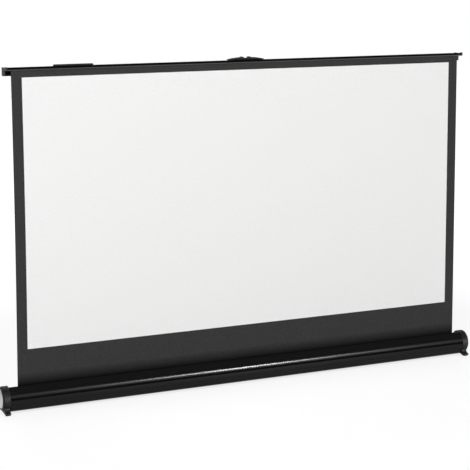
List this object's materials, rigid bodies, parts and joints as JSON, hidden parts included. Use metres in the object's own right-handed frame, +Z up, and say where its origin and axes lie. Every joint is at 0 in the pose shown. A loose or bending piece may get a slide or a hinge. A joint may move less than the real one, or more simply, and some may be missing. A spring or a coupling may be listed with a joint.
{
  "type": "portable projection screen",
  "caption": "Tabletop pull-up projection screen: taut white sheet with black borders, floor housing with spring roller, top bar raised on crossed folding arms.",
  "frame": {"origin": "centre of the footprint on the table, under the middle of the housing", "axes": "+X along the screen to the viewer's right, +Y from the viewed face to the back, +Z up"},
  "size_m": [1.2358, 0.0728, 0.797],
  "materials": {
    "casing": "satin black anodised",
    "cap": "fine moulded texture",
    "silver": "brushed",
    "rubber": "matt",
    "sheet": "matt white field with black borders",
    "tube": "drawn",
    "steel": "zinc plated",
    "arm": "satin black",
    "nylon": "natural nylon"
  },
  "bodies": {
    "base": {"housing": "casing", "end_cap_left": "cap", "end_cap_right": "cap", "cap_disc_left": "silver", "cap_disc_right": "silver", "cap_screw_front_left": "steel", "cap_screw_rear_left": "steel", "cap_screw_front_right": "steel", "cap_screw_rear_right": "steel", "foot_pad_front_left": "rubber", "foot_pad_rear_left": "rubber", "foot_pad_front_right": "rubber", "foot_pad_rear_right": "rubber", "idler_pin": "steel", "spring_spindle": "steel", "roller_spring": "steel", "lower_pivot_plate": "arm", "lower_pivot_nut": "steel", "lower_pivot_screw_outer": "steel", "lower_pivot_screw_inner": "steel", "lower_pivot_pin": "steel", "lower_pivot_bush": "nylon", "lower_track_stop": "nylon", "screen_sheet": "sheet"},
    "roller": {"roller_tube": "tube", "roller_wound_sheet": "sheet", "roller_plug_left": "nylon", "roller_plug_right": "nylon", "spring_collar": "nylon"},
    "rear_arm": {"arm_rear": "arm", "centre_rivet": "steel", "centre_washer": "nylon"},
    "front_arm": {"arm_front": "arm"},
    "lower_slider": {"lower_slider_block": "nylon", "lower_slider_pin": "steel"},
    "upper_slider": {"upper_slider_block": "nylon", "upper_slider_pin": "steel"},
    "bar": {"top_bar": "casing", "hem_rod": "nylon", "bar_cap_left": "cap", "bar_cap_right": "cap", "upper_pivot_plate": "arm", "upper_pivot_nut": "steel", "upper_pivot_screw_outer": "steel", "upper_pivot_screw_inner": "steel", "upper_pivot_pin": "steel", "upper_track_stop": "nylon", "handle_guide_left": "cap", "handle_guide_right": "cap"},
    "handle": {"handle_grip": "rubber"}
  },
  "joints": [
    {"name": "scissor_fold", "type": "hinge", "parent": "base", "child": "rear_arm", "pos_m": [-0.425, 0.027, 0.015], "axis": [0, 1, 0], "range_deg": [0, 49.84], "deforming": ["screen_sheet"]},
    {"name": "arm_cross", "type": "hinge", "parent": "rear_arm", "child": "front_arm", "pos_m": [-0.13489, 0.0228, 0.3972], "axis": [0, 1, 0], "range_deg": [-99.7, 0]},
    {"name": "bar_pivot", "type": "hinge", "parent": "front_arm", "child": "bar", "pos_m": [-0.425, 0.0228, 0.7794], "axis": [0, 1, 0], "range_deg": [0, 49.85]},
    {"name": "upper_slider_pivot", "type": "hinge", "parent": "rear_arm", "child": "upper_slider", "pos_m": [0.15521, 0.027, 0.7794], "axis": [0, 1, 0], "range_deg": [-49.85, 0]},
    {"name": "lower_slider_pivot", "type": "hinge", "parent": "front_arm", "child": "lower_slider", "pos_m": [0.15521, 0.0228, 0.015], "axis": [0, 1, 0], "range_deg": [0, 49.85]},
    {"name": "roller_turn", "type": "hinge", "parent": "base", "child": "roller", "pos_m": [0, 0.00169, 0.036], "axis": [1, 0, 0], "range_deg": [0, 3290]},
    {"name": "handle_lift", "type": "slide", "parent": "bar", "child": "handle", "axis": [0, 0, 1], "range_m": [0, 0.008]}
  ],
  "couplings": [
    {"joint": "arm_cross", "follows": "scissor_fold", "ratio": -2},
    {"joint": "bar_pivot", "follows": "scissor_fold", "ratio": 1},
    {"joint": "upper_slider_pivot", "follows": "scissor_fold", "ratio": -1},
    {"joint": "lower_slider_pivot", "follows": "scissor_fold", "ratio": 1},
    {"joint": "roller_turn", "follows": "scissor_fold", "ratio": 66}
  ]
}
